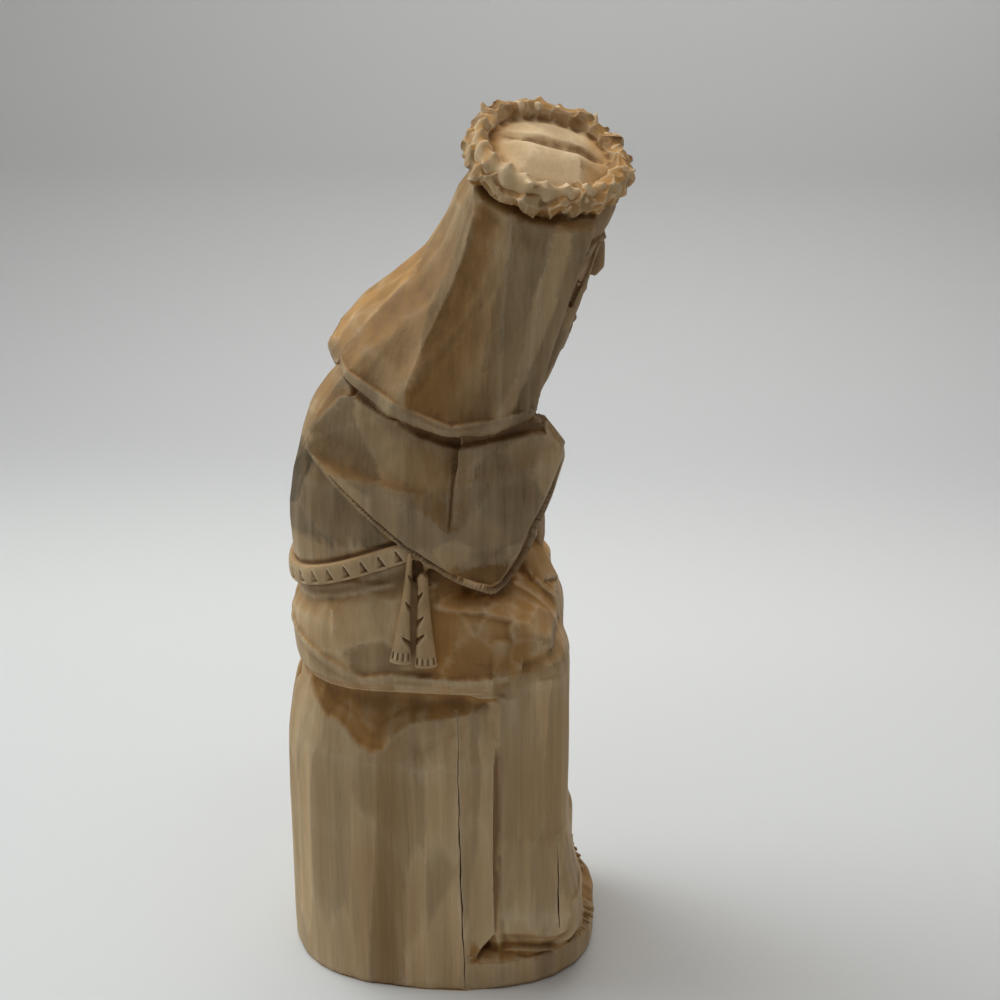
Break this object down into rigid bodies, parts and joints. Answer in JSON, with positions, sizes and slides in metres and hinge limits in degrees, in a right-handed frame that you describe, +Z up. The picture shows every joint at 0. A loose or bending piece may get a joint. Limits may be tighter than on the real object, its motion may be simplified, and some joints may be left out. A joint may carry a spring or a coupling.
{
  "type": "carved wooden seated figure",
  "caption": "One-piece carved limewood statue of a seated, robed, bearded man in a thorn wreath, leaning his bowed head on his hand.",
  "frame": {"origin": "middle of the flat underside", "axes": "+Z up the figure, -Y the way the figure faces, -X to his right-hand side"},
  "size_m": [0.0821, 0.1142, 0.2908],
  "materials": {
    "limewood": "raw, gouge-cut limewood"
  },
  "bodies": {
    "root": {"seated_figure": "limewood"}
  },
  "joints": []
}
